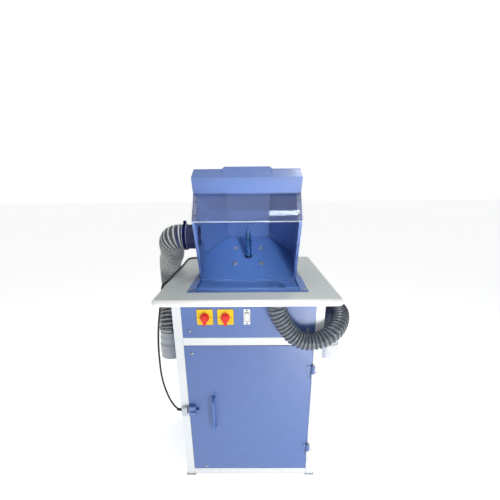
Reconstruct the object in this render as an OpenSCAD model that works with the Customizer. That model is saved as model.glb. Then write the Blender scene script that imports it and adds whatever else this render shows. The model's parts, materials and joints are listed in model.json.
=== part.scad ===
// Lapping table: a steel cabinet with a bench top, a tilted motor spindle in a blue hood,
// a lamp box above it, and two suction hoses that end in duct couplers beside the cabinet.
// +X is right, +Y is away from the operator, +Z is up. The origin is on the floor, below the
// middle of the bench top.

/* [Bench top] */
// Width of the bench top
bench_w = 640; // [620:10:680]
// Depth of the bench top
bench_d = 756; // [740:4:800]
// Thickness of the bench top
bench_t = 25; // [20:1:30]
// Height of the bench top above the floor
bench_h = 960; // [940:5:1000]
// Plan radius of the bench top's corners
bench_corner_r = 22; // [18:1:40]

/* [Cabinet] */
// Outside width of the frame
frame_w = 608; // [600:2:612]
// Outside depth of the frame
frame_d = 534; // [520:2:540]
// How far the bench top stands out over the cabinet's front
front_overhang = 202; // [198:1:206]
// Size of the square tube
tube = 36; // [34:1:38]
// Wall of the square tube
tube_wall = 2; // [1.5:0.5:3]
// Thickness of a foot pad
foot_t = 4; // [3:1:8]
// Height of the middle rail's underside
middle_rail_z = 699; // [690:1:705]
// Thickness of the cabinet's sheet steel
sheet = 1.5; // [1:0.5:2]

/* [Door] */
// Gap round the door
door_gap = 2; // [1.5:0.5:3]
// Depth of the door's folded edges
door_fold = 18; // [14:1:24]
// Radius of a hinge barrel
hinge_r = 7; // [6:0.5:8]
// Height of a hinge, both halves together
hinge_h = 68; // [60:2:76]
// Radius of the handle's bar
handle_r = 6; // [5:0.5:7]
// Height of the handle
handle_h = 162; // [140:2:180]

/* [Switches] */
// Width of a cam switch's square plate
plate_w = 64; // [60:1:66]
// Height of the switch centres above the floor
switch_z = 825; // [815:1:830]
// Travel of the rocker from off to on, in degrees
rocker_throw = 14; // [10:1:16]

/* [Hood] */
// Outside width of the hood
hood_w = 370; // [360:2:376]
// Tilt of the hood's floor and of the spindle
tilt = 25; // [24:0.5:26]
// Length of the sloping floor
floor_len = 296; // [290:1:300]
// Length of the floor's part with parallel sides
parallel_len = 170; // [165:1:175]
// Width of the hood's back wall
back_w = 182; // [176:2:190]
// Thickness of the hood's sheet steel
skin = 2; // [1.5:0.5:2.5]
// Outside radius of the side suction port
port_r = 45; // [44:0.5:46]
// Outside radius of the trough's suction port
drain_r = 34; // [32:0.5:35]

/* [Spindle and motor] */
// Radius of the spindle's cylinder
spindle_r = 14; // [12:0.5:15]
// Length of the spindle above the hood's floor
spindle_len = 139; // [130:1:145]
// Distance of the four motor bolts from the spindle's axis, along X and up the floor
bolt_offset = 54; // [50:1:56]
// Radius of the motor's housing over its fins
motor_r = 68; // [64:1:70]

/* [Hoses and cable] */
// Outside radius of the left hose
left_hose_r = 48.5; // [47:0.5:49]
// Outside radius of the right hose
right_hose_r = 37; // [36:0.5:38]
// Outside radius of the lamp cable
cable_r = 4; // [3:0.5:5]
// Bore radius of a duct coupler's socket
socket_r = 50.2; // [49.6:0.1:50.6]

/* [Hidden] */
$fn = 64;

// Bench and frame
bench_y0 = -bench_d / 2;
under_z = bench_h - bench_t;
frame_x = frame_w / 2;
leg_in = frame_x - tube;
frame_y0 = bench_y0 + front_overhang;
frame_y1 = frame_y0 + frame_d;
rail = tube - 1;
rail_top_z = under_z - rail;
bottom_rail_z = foot_t + rail;
panel_z0 = middle_rail_z + rail;
side_z0 = bottom_rail_z;
side_h = rail_top_z - side_z0;

// Door
door_z0 = bottom_rail_z + door_gap;
door_z1 = middle_rail_z - door_gap;
door_x1 = leg_in - 1;
hinge_x = leg_in + 2;
hinge_y = frame_y0 - hinge_r - 1;
leaf_t = 2;
leaf_w = 27;
hinge_z = [121, 535];
hinge_pin_r = 4;
hinge_play = 0.05;
handle_x = -156;
handle_z = 292;
handle_out = 34;
latch_z = 383;
latch_y = frame_y0 - 10;
latch_r = 5;

// Switches
switch_x = [-173, -91];
plate_t = 5;
panel_y = frame_y0 + 1;
knob_y = panel_y - plate_t - 0.4;
switch_shaft_r = 3;
rocker_x = -6;
rocker_w = 14.4;
rocker_y = panel_y + 2;
rocker_screws = [-27, 27];
rocker_screw_r = 1.5;

// Hood: the floor's lower front edge, and the hole for the spindle
hood_x = hood_w / 2;
floor_y0 = -150;
floor_z0 = 973;
base_t = 3;
base_top = bench_h + base_t;
floor_t = 3;
seal_r = 17;
motor_bolt_r = 5;
spindle_l = 151;
nose_h = 252;
nose = [floor_y0 - nose_h * sin(tilt), floor_z0 + nose_h * cos(tilt)];
fascia_low = [-192, 1282];
fascia_high = [-216, 1334];
roof_edge = [-150, 1363];
roof_z = roof_edge[1];
seam_z = fascia_low[1];
port_y = -112;
port_z = 1130;
port_end_x = -hood_x - 59;
drain_x = 108;
drain_y = -221;
drain_end_z = 885;
lip_y = -281;
lip_h = 12;
cutout = [[-104, -100], [104, 160]];
visor_t = 5;
visor_x = hood_x + 3;
visor_len = norm(fascia_low - nose);
visor_angle = atan2(fascia_low[1] - nose[1], fascia_low[0] - nose[0]);

// Base bolts, in plan: corners, sides and back
base_bolt_r = 4;
base_w = 428;
base_y0 = -287;
base_y1 = 212;
base_bolts_xy = [
    for (x = [-1, 1], y = [base_y0 + 15, -60, base_y1 - 15]) [x * (base_w / 2 - 13), y]
];

// Lamp
lamp_y = -135;
lamp_z = 1308;
lamp_r = 8;
lamp_half = 140;

// Motor, along its own axis below the floor
flange_t = 12;
flange_z = -floor_t;
housing_z = flange_z - flange_t;
housing_len = 150;
cowl_z = housing_z - housing_len;
cowl_len = 50;
shaft_r = 11;
bearing_r = 24;
rotor_r = 40;
run_play = 0.05;

// Couplers
coupler_x = 384;
coupler_y = 75;
coupler_top = 660;
coupler_step = 600;
coupler_bottom = 530;
spigot_h = 26;
socket_depth = 62;

// Routes of the hoses and of the lamp cable
left_route = [
    [-244, -112, 1130], [-256.8, -111, 1129.3], [-270.2, -107.7, 1126.8],
    [-282.1, -101.9, 1122.4], [-292.2, -93.2, 1115.7], [-300, -81.3, 1106.5],
    [-305.6, -66.1, 1094.8], [-309.6, -47, 1080.7], [-314, -22.6, 1063.8], [-323.2, 8.8, 1044.7],
    [-337.6, 46.3, 1024.4], [-351.3, 84.1, 1004.3], [-364, 121.2, 982.3], [-374.1, 152.6, 952.1],
    [-380.3, 171.7, 912.1], [-383.3, 177.6, 867.8], [-384.5, 170, 823.6], [-384.7, 147.9, 784.7],
    [-384.5, 125.9, 764.5], [-384.3, 108, 750], [-384.1, 95, 737.6], [-384, 85.8, 725.7],
    [-384, 79.6, 713.2], [-384, 76, 699.7], [-384, 75, 686]
];
right_route = [
    [108, -221, 885], [113, -221, 860], [127, -221, 832], [150, -221, 794],
    [180, -221, 760], [216, -221, 741], [256, -221, 738], [298, -219, 749],
    [332, -207, 768], [358, -178, 787], [374, -140, 801], [383, -95, 808],
    [386, -45, 806], [387, 0, 792], [386, 40, 764], [385, 66, 726], [384, 75, 686]
];
cable_route = [
    [-60, 18, 1322], [-60, 46, 1335], [-63, 78, 1336], [-70, 102, 1306], [-80, 112, 1240],
    [-94, 122, 1160], [-112, 148, 1080], [-136, 190, 1012], [-168, 236, 974], [-206, 282, 965.2],
    [-246, 316, 964.1], [-284, 332, 964.1], [-306, 320, 964.1], [-314, 292, 964.1],
    [-314, 240, 964.1], [-312, 150, 964.1], [-313, 50, 964.1], [-315, -50, 964.1],
    [-315, -120, 964.1], [-318, -160, 964.1], [-327, -180, 955], [-333, -185, 925],
    [-345, -183, 868], [-362, -175, 788], [-375, -163, 706], [-382, -153, 620],
    [-384, -145, 540], [-378, -136, 470], [-366, -127, 408], [-352, -119, 366],
    [-338, -116, 345], [-322, -116, 338], [-308, -116, 338]
];
gland_y = -116;
gland_z = 338;
lamp_gland_h = 245;
gland_play = 0.6;
mains_gland_x = -180;
mains_gland_z = 120;

// ---- Shared shapes ----

// A closed outline in the YZ plane, drawn out along X
module across(outline, x0, x1) {
    translate([x0, 0, 0])
        rotate([90, 0, 90])
            linear_extrude(x1 - x0)
                polygon(outline);
}

// Puts its children in the floor's own frame: Y runs up the slope and Z stands out of it
module on_slope() {
    translate([0, floor_y0, floor_z0])
        rotate([tilt, 0, 0])
            children();
}

// Puts its children on the spindle's axis, with Z along it
module on_spindle() {
    on_slope()
        translate([0, spindle_l, 0])
            children();
}

// A run of square tube with open ends: along X, or along Y
module rail_x(x0, x1, y, z) {
    translate([x0, y, z])
        difference() {
            cube([x1 - x0, rail, rail]);
            translate([-1, tube_wall, tube_wall])
                cube([x1 - x0 + 2, rail - 2 * tube_wall, rail - 2 * tube_wall]);
        }
}

module rail_y(y0, y1, x, z) {
    translate([x, y0, z])
        difference() {
            cube([rail, y1 - y0, rail]);
            translate([tube_wall, -1, tube_wall])
                cube([rail - 2 * tube_wall, y1 - y0 + 2, rail - 2 * tube_wall]);
        }
}

module ring(outer, inner, h) {
    difference() {
        cylinder(r = outer, h = h);
        translate([0, 0, -1])
            cylinder(r = inner, h = h + 2);
    }
}

// A square with round corners, about its middle
module round_square(w, r) {
    square([w, w - 2 * r], center = true);
    square([w - 2 * r, w], center = true);
    for (x = [-1, 1], y = [-1, 1])
        translate([x * (w / 2 - r), y * (w / 2 - r)])
            circle(r = r);
}

// A pan-head screw with a cross slot, standing on z = 0 with its shank below
module pan_screw(head_r, shank_r, shank_len) {
    difference() {
        intersection() {
            cylinder(r = head_r, h = head_r * 0.6);
            translate([0, 0, -head_r * 0.9])
                sphere(r = head_r * 1.5);
        }
        for (a = [0, 90])
            rotate([0, 0, a])
                translate([-head_r * 0.6, -0.5, head_r * 0.3])
                    cube([head_r * 1.2, 1, head_r]);
    }
    translate([0, 0, -shank_len])
        cylinder(r = shank_r, h = shank_len + 0.01);
}

// A hexagon bolt on a washer, standing on z = 0 with its shank below
module hex_bolt(shank_r, shank_len) {
    cylinder(r = shank_r * 2.1, h = shank_r * 0.4);
    translate([0, 0, shank_r * 0.4 - 0.01])
        cylinder(r = shank_r * 1.75, h = shank_r * 1.3, $fn = 6);
    translate([0, 0, -shank_len])
        cylinder(r = shank_r, h = shank_len + 0.01);
}

// ---- Round tubes swept along a route ----

function unit(v) = v / norm(v);

// Direction of the route at each of its points
function tangents(p) = [
    for (i = [0:len(p) - 1]) unit(p[min(i + 1, len(p) - 1)] - p[max(i - 1, 0)])
];

// A side vector at each point, carried along the route without twisting
function sides(t, side, i = 0) =
    i == len(t) ? [] :
    let (s = unit(side - (side * t[i]) * t[i]))
    concat([s], sides(t, s, i + 1));

// Midpoints on the smooth curve through the route's points
function smooth(p) = [
    for (i = [0:len(p) - 2])
        let (a = p[max(i - 1, 0)], b = p[i], c = p[i + 1], d = p[min(i + 2, len(p) - 1)])
            each [b, (9 * (b + c) - a - d) / 16],
    p[len(p) - 1]
];

module swept(route, r, first, last, side, n = 12) {
    t0 = tangents(route);
    count = len(route);
    t = [for (i = [0:count - 1]) i == 0 ? first : i == count - 1 ? last : t0[i]];
    u = sides(t, side);
    points = [
        for (i = [0:count - 1], k = [0:n - 1])
            let (a = 360 * k / n)
                route[i] + r * (cos(a) * u[i] + sin(a) * cross(t[i], u[i]))
    ];
    walls = [
        for (i = [0:count - 2], k = [0:n - 1])
            let (a = i * n + k, b = i * n + (k + 1) % n)
                each [[a, a + n, b], [b, a + n, b + n]]
    ];
    ends = [
        [for (k = [0:n - 1]) k],
        [for (k = [n - 1:-1:0]) (count - 1) * n + k]
    ];
    polyhedron(points, concat(walls, ends));
}

// ---- Frame ----

module frame_legs() {
    color("white")
        for (x = [-frame_x, leg_in], y = [frame_y0, frame_y1 - tube])
            translate([x, y, foot_t])
                difference() {
                    cube([tube, tube, under_z - foot_t]);
                    translate([tube_wall, tube_wall, -1])
                        cube([tube - 2 * tube_wall, tube - 2 * tube_wall, under_z + 2]);
                }
}

module frame_feet() {
    pad = tube + 8;
    color("gainsboro")
        for (x = [-frame_x - 4, leg_in - 4], y = [frame_y0 - 4, frame_y1 - tube - 4])
            translate([x, y, 0])
                cube([pad, pad, foot_t]);
}

module frame_rails() {
    color("white") {
        for (z = [foot_t, rail_top_z]) {
            for (y = [frame_y0, frame_y1 - rail])
                rail_x(-leg_in, leg_in, y, z);
            for (x = [-frame_x, frame_x - rail])
                rail_y(frame_y0 + tube, frame_y1 - tube, x, z);
        }
        rail_x(-leg_in, leg_in, frame_y0, middle_rail_z);
    }
}

// ---- Cabinet ----

// Screw places on the control panel's front: two corners low down, two hidden high up
panel_screws_xz = [[-239, 764], [239, 767], [-239, 884], [239, 884]];
panel_screw_r = 2.5;

module control_panel() {
    color("cornflowerblue")
        difference() {
            translate([-leg_in, panel_y, panel_z0])
                cube([2 * leg_in, 16, rail_top_z - panel_z0]);
            translate([-leg_in + sheet, panel_y + sheet, panel_z0 + sheet])
                cube([2 * (leg_in - sheet), 20, rail_top_z - panel_z0 - 2 * sheet]);
            for (x = switch_x)
                translate([x, panel_y - 1, switch_z])
                    rotate([-90, 0, 0])
                        cylinder(r = 11, h = 6);
            translate([rocker_x - 10, panel_y - 1, switch_z - 21])
                cube([20, 6, 42]);
            for (p = panel_screws_xz)
                translate([p[0], panel_y - 1, p[1]])
                    rotate([-90, 0, 0])
                        cylinder(r = panel_screw_r + 0.1, h = 6);
            for (z = rocker_screws)
                translate([rocker_x, panel_y - 1, switch_z + z])
                    rotate([-90, 0, 0])
                        cylinder(r = rocker_screw_r + 0.1, h = 6);
        }
}

module panel_screws() {
    color("silver") {
        for (p = panel_screws_xz)
            translate([p[0], panel_y, p[1]])
                rotate([90, 0, 0])
                    pan_screw(7, panel_screw_r, 12);
        for (z = rocker_screws)
            translate([rocker_x, panel_y - 3, switch_z + z])
                rotate([90, 0, 0])
                    pan_screw(3, rocker_screw_r, 9);
    }
}

module side_panel(x) {
    translate([x, frame_y0 + tube, side_z0])
        cube([sheet, frame_d - 2 * tube, side_h]);
}

module side_panels() {
    color("cornflowerblue") {
        difference() {
            side_panel(-frame_x + 2);
            translate([-frame_x - 2, gland_y, gland_z])
                rotate([0, 90, 0])
                    cylinder(r = 8.1, h = 10);
        }
        side_panel(frame_x - 2 - sheet);
    }
}

module rear_panel() {
    color("cornflowerblue")
        difference() {
            translate([-leg_in, frame_y1 - 2 - sheet, side_z0])
                cube([2 * leg_in, sheet, side_h]);
            for (x = [-200, 80], i = [0:7])
                translate([x, frame_y1 - 6, 560 + i * 22])
                    cube([120, 10, 8]);
            translate([mains_gland_x, frame_y1 - 8, mains_gland_z])
                rotate([-90, 0, 0])
                    cylinder(r = 10.1, h = 12);
        }
}

module cabinet_floor() {
    color("lightsteelblue")
        translate([0, 0, bottom_rail_z]) {
            translate([-leg_in - 10, frame_y0 + tube, 0])
                cube([2 * leg_in + 20, frame_d - 2 * tube, 2]);
            translate([-leg_in, frame_y0 + tube - 10, 0])
                cube([2 * leg_in, frame_d - 2 * tube + 20, 2]);
        }
}

module starter_box() {
    color("gray")
        translate([frame_x - 2 - sheet - 90, 40, 480])
            difference() {
                cube([90, 130, 180]);
                translate([-1, 3, 3])
                    cube([88, 124, 174]);
            }
}

module contactor() {
    color("black")
        translate([frame_x - 2 - sheet - 63, 60, 520])
            union() {
                cube([60, 50, 75]);
                translate([-10, 8, 15])
                    cube([12, 34, 45]);
            }
}

// ---- Bench top ----

module bench_top() {
    r = bench_t / 2;
    cx = bench_w / 2 - bench_corner_r;
    cy = bench_d / 2 - bench_corner_r;
    flat_r = bench_corner_r - r;
    color("whitesmoke")
        difference() {
            translate([0, 0, under_z]) {
                linear_extrude(bench_t) {
                    square([2 * (cx + flat_r), 2 * cy], center = true);
                    square([2 * cx, 2 * (cy + flat_r)], center = true);
                    for (x = [-cx, cx], y = [-cy, cy])
                        translate([x, y])
                            circle(r = flat_r);
                }
                for (x = [-1, 1]) {
                    translate([x * (cx + flat_r), cy, r])
                        rotate([90, 0, 0])
                            cylinder(r = r, h = 2 * cy);
                    translate([-cx, x * (cy + flat_r), r])
                        rotate([0, 90, 0])
                            cylinder(r = r, h = 2 * cx);
                }
                for (c = [[cx, cy, 0], [-cx, cy, 90], [-cx, -cy, 180], [cx, -cy, 270]])
                    translate([c[0], c[1], r])
                        rotate([0, 0, c[2]])
                            rotate_extrude(angle = 90)
                                translate([flat_r, 0])
                                    intersection() {
                                        circle(r = r);
                                        translate([-flat_r, -r])
                                            square([flat_r + r, 2 * r]);
                                    }
            }
            translate([cutout[0][0], cutout[0][1], under_z - 1])
                cube([cutout[1][0] - cutout[0][0], cutout[1][1] - cutout[0][1], bench_t + 2]);
            translate([drain_x, drain_y, under_z - 1])
                cylinder(r = drain_r + 2.5, h = bench_t + 2);
            for (p = base_bolts_xy)
                translate([p[0], p[1], under_z - 1])
                    cylinder(r = base_bolt_r + 0.1, h = bench_t + 2);
        }
}

// ---- Door ----

door_screws_xz = [[-237, 664], [-209, 56]];

module door_panel() {
    w = 2 * door_x1;
    h = door_z1 - door_z0;
    color("cornflowerblue")
        difference() {
            translate([-door_x1, frame_y0, door_z0])
                cube([w, door_fold, h]);
            translate([-door_x1 + sheet, frame_y0 + sheet, door_z0 + sheet])
                cube([w - 2 * sheet, door_fold, h - 2 * sheet]);
            for (p = door_screws_xz)
                translate([p[0], frame_y0 - 1, p[1]])
                    rotate([-90, 0, 0])
                        cylinder(r = 2.6, h = 4);
            for (z = [handle_z, handle_z + handle_h - 2 * handle_r])
                translate([handle_x, frame_y0 - 1, z + handle_r])
                    rotate([-90, 0, 0])
                        cylinder(r = 3.1, h = 4);
        }
}

module door_screws() {
    color("silver")
        for (p = door_screws_xz)
            translate([p[0], frame_y0, p[1]])
                rotate([90, 0, 0])
                    pan_screw(7, 2.5, 12);
}

// Bar with two round bends and two posts that reach the door
module door_handle() {
    bend = 14;
    span = handle_h - 2 * handle_r;
    color("royalblue")
        translate([handle_x, frame_y0, handle_z + handle_r]) {
            translate([0, -handle_out, bend])
                cylinder(r = handle_r, h = span - 2 * bend);
            for (z = [0, span])
                translate([0, 0, z])
                    rotate([90, 0, 0])
                        cylinder(r = handle_r, h = handle_out - bend);
            for (c = [[bend, 180], [span - bend, 90]])
                translate([0, -handle_out + bend, c[0]])
                    rotate([90, 0, 90])
                        rotate([0, 0, c[1]])
                            rotate_extrude(angle = 90)
                                translate([bend, 0])
                                    circle(r = handle_r);
            for (z = [0, span])
                translate([0, 8, z])
                    rotate([90, 0, 0])
                        cylinder(r = 3, h = 9);
        }
}

module latch_housing() {
    color("royalblue")
        difference() {
            translate([-door_x1, latch_y - 9, latch_z - 24])
                cube([30, frame_y0 - latch_y + 9, 48]);
            translate([-door_x1 - 1, latch_y, latch_z])
                rotate([0, 90, 0])
                    cylinder(r = latch_r + run_play, h = 40);
            translate([-door_x1 + 3, latch_y - 10, latch_z - 2.6])
                cube([25, 10, 5.2]);
        }
}

// Round bolt with a small pull knob that runs in the housing's slot
module latch_bolt() {
    color("silver") {
        translate([-door_x1, latch_y, latch_z])
            rotate([0, 90, 0])
                cylinder(r = latch_r, h = 46);
        translate([-door_x1 + 25, latch_y, latch_z])
            rotate([90, 0, 0])
                cylinder(r = 2.4, h = 14);
        translate([-door_x1 + 25, latch_y - 13, latch_z])
            rotate([90, 0, 0])
                cylinder(r = 5, h = 7);
    }
}

// Block on the leg with a square window for the bolt
module latch_keeper() {
    color("gainsboro")
        difference() {
            translate([-frame_x + 8, latch_y - 9, latch_z - 19])
                cube([22, frame_y0 - latch_y + 9, 38]);
            translate([-frame_x, latch_y - latch_r - 1, latch_z - latch_r - 1])
                cube([40, 2 * latch_r + 2, 2 * latch_r + 2]);
        }
}

// Half of a barrel hinge: a barrel, and a leaf on the side that side gives
module hinge_half(z, side, bore_r) {
    face_y = frame_y0 - hinge_y;
    web = 6;
    translate([hinge_x, hinge_y, z])
        linear_extrude(hinge_h / 2 - 0.5)
            difference() {
                union() {
                    circle(r = hinge_r);
                    polygon([
                        for (p = [
                            [0, face_y - 1.2], [0, 0], [web, 0], [web + 3, face_y - leaf_t],
                            [leaf_w, face_y - leaf_t], [leaf_w, face_y], [web - 1, face_y],
                            [web - 2, face_y - 1.2]
                        ]) [side * p[0], p[1]]
                    ]);
                }
                circle(r = bore_r);
            }
}

module door_hinge_leaves() {
    color("cornflowerblue")
        for (z = hinge_z)
            hinge_half(z + hinge_h / 2 + 0.5, -1, hinge_pin_r + hinge_play);
}

module frame_hinge_leaves() {
    color("white")
        for (z = hinge_z)
            hinge_half(z, 1, hinge_pin_r);
}

module hinge_pins() {
    color("silver")
        for (z = hinge_z)
            translate([hinge_x, hinge_y, z]) {
                cylinder(r = hinge_pin_r, h = hinge_h + 0.5);
                translate([0, 0, hinge_h + 0.3])
                    cylinder(r = hinge_pin_r + 1.5, h = 2.5);
            }
}

// ---- Switches ----

module switch_plates() {
    color("gold")
        for (x = switch_x)
            translate([x, panel_y, switch_z])
                rotate([90, 0, 0])
                    linear_extrude(plate_t)
                        difference() {
                            round_square(plate_w, 5);
                            circle(r = switch_shaft_r + run_play);
                        }
}

module switch_bodies() {
    color("dimgray")
        for (x = switch_x)
            translate([x, panel_y + sheet, switch_z])
                difference() {
                    union() {
                        translate([-24, 0, -24])
                            cube([48, 12, 48]);
                        translate([-21, 12, -21])
                            cube([42, 44, 42]);
                    }
                    translate([0, -1, 0])
                        rotate([-90, 0, 0])
                            cylinder(r = switch_shaft_r + run_play, h = 40);
                }
}

// Disc with a pointer whose tail points down at rest
module switch_knob(x) {
    tail = 25;
    tail_r = 5;
    head_r = 12;
    translate([x, knob_y, switch_z])
        rotate([90, 0, 0]) {
            cylinder(r = 18, h = 7);
            translate([0, 0, 6.99])
                linear_extrude(13) {
                    circle(r = head_r);
                    translate([0, -tail])
                        circle(r = tail_r);
                    polygon([
                        [-head_r, 0], [head_r, 0], [tail_r, -tail], [-tail_r, -tail]
                    ]);
                }
            translate([0, 0, -36])
                cylinder(r = switch_shaft_r, h = 36.01);
        }
}

module switch_knob_left() {
    color("red")
        switch_knob(switch_x[0]);
}

module switch_knob_right() {
    color("red")
        switch_knob(switch_x[1]);
}

// White face plate and the box behind it, moulded as one, with a window for the paddle
module rocker_body() {
    color("white")
        translate([rocker_x, panel_y, switch_z])
            difference() {
                union() {
                    translate([-13, -3, -32])
                        cube([26, 3, 64]);
                    translate([-9.5, -0.01, -20])
                        cube([19, 24, 40]);
                }
                translate([-7.8, -4, -19])
                    cube([15.6, 24, 38]);
                for (z = rocker_screws)
                    translate([0, -4, z])
                        rotate([-90, 0, 0])
                            cylinder(r = rocker_screw_r + 0.1, h = 5);
                translate([-10.5, rocker_y - panel_y, 0])
                    rotate([0, 90, 0])
                        cylinder(r = 1.5 + run_play, h = 21);
            }
}

// Shallow vee, pressed in at its lower end when it is off
module rocker_paddle() {
    vee = rocker_throw / 2;
    color("ivory")
        translate([rocker_x, rocker_y, switch_z])
            rotate([vee, 0, 0])
                union() {
                    across(
                        [
                            [-6, 0], [-6 - 17 * tan(vee), 17], [-1, 17], [5, 4],
                            [5, -4], [-1, -17], [-6 - 17 * tan(vee), -17]
                        ],
                        -rocker_w / 2, rocker_w / 2
                    );
                    translate([-9, 0, 0])
                        rotate([0, 90, 0])
                            cylinder(r = 1.5, h = 18);
                }
}

// ---- Hood base, shell and floor ----

// The hood's outline on its sloping floor, inset by t
function hood_plan(t, front) =
    let (
        dx = hood_x - back_w / 2,
        dl = floor_len - parallel_len,
        k = t * (sqrt(dx * dx + dl * dl) - dx) / dl,
        m = t * (sqrt(dx * dx + dl * dl) - dl) / dx
    ) [
        [-hood_x + t, front], [-hood_x + t, parallel_len - m],
        [-back_w / 2 + k, floor_len - t], [back_w / 2 - k, floor_len - t],
        [hood_x - t, parallel_len - m], [hood_x - t, front]
    ];

module hood_prism(t, front) {
    on_slope()
        translate([0, 0, -260])
            linear_extrude(760)
                polygon(hood_plan(t, front));
}

module hood_base() {
    color("royalblue")
        difference() {
            union() {
                translate([-base_w / 2, base_y0, bench_h])
                    cube([base_w, base_y1 - base_y0, base_t]);
                translate([-hood_x, lip_y, bench_h])
                    cube([hood_w, 2.5, base_t + lip_h]);
                for (x = [-hood_x, hood_x - 2.5])
                    translate([x, lip_y, bench_h])
                        cube([2.5, floor_y0 - lip_y - 3, base_t + lip_h]);
            }
            translate([cutout[0][0], cutout[0][1], bench_h - 1])
                cube([cutout[1][0] - cutout[0][0], cutout[1][1] - cutout[0][1], base_t + 2]);
            translate([drain_x, drain_y, bench_h - 1])
                cylinder(r = drain_r, h = base_t + 2);
            for (p = base_bolts_xy)
                translate([p[0], p[1], bench_h - 1])
                    cylinder(r = base_bolt_r + 0.1, h = base_t + 2);
        }
}

module base_bolts() {
    color("silver")
        for (p = base_bolts_xy)
            translate([p[0], p[1], base_top])
                hex_bolt(base_bolt_r, base_t + bench_t);
}

module hood_shell() {
    edge = 10;
    lean = [sin(tilt), -cos(tilt)];
    cut = unit(fascia_low - nose);
    color("cornflowerblue")
        difference() {
            union() {
                difference() {
                    intersection() {
                        hood_prism(0, 0);
                        across(
                            [
                                [floor_y0 - 200, base_top], [nose[0], nose[1]],
                                fascia_low, [80, seam_z], [260, base_top]
                            ],
                            -hood_x - 1, hood_x + 1
                        );
                    }
                    hood_prism(skin, -50);
                }
                for (s = [-1, 1]) {
                    across(
                        [
                            nose, nose + nose_h * lean,
                            nose + nose_h * lean + [skin * cos(tilt), skin * sin(tilt)],
                            nose + [skin * cos(tilt), skin * sin(tilt)]
                        ],
                        s > 0 ? hood_x - edge : -hood_x + skin - 0.01,
                        s > 0 ? hood_x - skin + 0.01 : -hood_x + edge
                    );
                    across(
                        [
                            nose, fascia_low, fascia_low + skin * [cut[1], -cut[0]],
                            nose + skin * [cut[1], -cut[0]]
                        ],
                        s > 0 ? hood_x - 16 : -hood_x + skin - 0.01,
                        s > 0 ? hood_x - skin + 0.01 : -hood_x + 16
                    );
                }
            }
            translate([-hood_x - 1, port_y, port_z])
                rotate([0, 90, 0])
                    cylinder(r = port_r - skin, h = 10);
            visor_screw_places()
                translate([0, 0, -12])
                    cylinder(r = 2.1, h = 20);
        }
}

// Sloping plate that closes the hood's underside, with a riser below its front edge
module hood_floor() {
    riser_t = 2.5;
    riser_back = 1;
    riser_side = skin + 0.5;
    color("royalblue")
        difference() {
            union() {
                on_slope()
                    translate([0, 0, -floor_t])
                        linear_extrude(floor_t)
                            polygon(hood_plan(skin, 0));
                translate([-hood_x + riser_side, floor_y0 + riser_back, base_top])
                    cube([hood_w - 2 * riser_side, riser_t, floor_z0 - 1.5 - base_top]);
            }
            on_spindle() {
                translate([0, 0, -floor_t - 1])
                    cylinder(r = seal_r, h = floor_t + 2);
                for (x = [-1, 1], y = [-1, 1])
                    translate([x * bolt_offset, y * bolt_offset, -floor_t - 1])
                        cylinder(r = motor_bolt_r + 0.2, h = floor_t + 2);
            }
        }
}

module spindle_seal() {
    color("black")
        on_spindle()
            difference() {
                translate([0, 0, -floor_t])
                    cylinder(r = seal_r, h = floor_t + 0.6);
                translate([0, 0, -5])
                    cylinder(r = spindle_r - 1, h = 20);
            }
}

// ---- Lamp box ----

module lamp_box() {
    low = seam_z + skin;
    color("cornflowerblue")
        difference() {
            intersection() {
                hood_prism(0, -120);
                across(
                    [fascia_low, fascia_high, roof_edge, [80, roof_z], [100, seam_z]],
                    -hood_x - 1, hood_x + 1
                );
            }
            intersection() {
                hood_prism(skin, -120);
                across(
                    [
                        [fascia_low[0] + 1.5, low], [fascia_high[0] + 2.3, fascia_high[1] - 0.8],
                        [roof_edge[0] + 0.4, roof_z - skin], [80, roof_z - skin], [100, low]
                    ],
                    -hood_x - 1, hood_x + 1
                );
            }
            translate([-150, lamp_y - 30, seam_z - 1])
                cube([300, 60, skin + 2]);
            translate([-70, -110, roof_z - skin - 1])
                cube([140, 70, skin + 2]);
            lamp_gland_place()
                translate([0, 0, -6])
                    cylinder(r = 8.1, h = 12);
        }
}

// Raised cover over the lamp's access hole: a wedge on the front slope that runs on over the
// roof, with a notch in each end
module lamp_cover() {
    top = 7;
    half = 86;
    back_y = -18;
    color("cornflowerblue")
        difference() {
            intersection() {
                across(
                    [
                        [fascia_high[0] + 3, fascia_high[1] + 1.4], [roof_edge[0], roof_z + top],
                        [back_y, roof_z + top], [back_y, roof_z], [roof_edge[0], roof_z]
                    ],
                    -half, half
                );
                translate([0, back_y + 1, roof_z])
                    rotate([90, 0, 0])
                        linear_extrude(220)
                            polygon([
                                [-half, -40], [half, -40], [half, 0], [half - 8, top],
                                [8 - half, top], [-half, 0]
                            ]);
            }
            translate([-70, -110, roof_z - 1])
                cube([140, 70, top - 1]);
            for (x = [-half, half])
                translate([x - 4, -192, roof_z - 22])
                    cube([8, 14, 22]);
        }
}

module lamp_lens() {
    color("lightcyan", 0.5)
        translate([-155, lamp_y - 32, seam_z + skin])
            cube([310, 64, 3]);
}

module lamp_tube() {
    color("white")
        translate([-lamp_half, lamp_y, lamp_z])
            rotate([0, 90, 0])
                cylinder(r = lamp_r, h = 2 * lamp_half);
}

module lamp_holders() {
    color("whitesmoke")
        for (s = [-1, 1])
            translate([s * (lamp_half + 6), lamp_y, lamp_z])
                union() {
                    translate([-6, -11, -12])
                        cube([12, 22, 24]);
                    translate([-6, -8, 11.99])
                        cube([12, 16, roof_z - skin - lamp_z - 12]);
                }
}

// ---- Visor ----

module visor_screw_places() {
    for (x = [-hood_x + 10, hood_x - 10], l = [0.24, 0.76])
        translate([x, nose[0], nose[1]])
            rotate([visor_angle, 0, 0])
                translate([0, l * visor_len, 0])
                    children();
}

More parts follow.
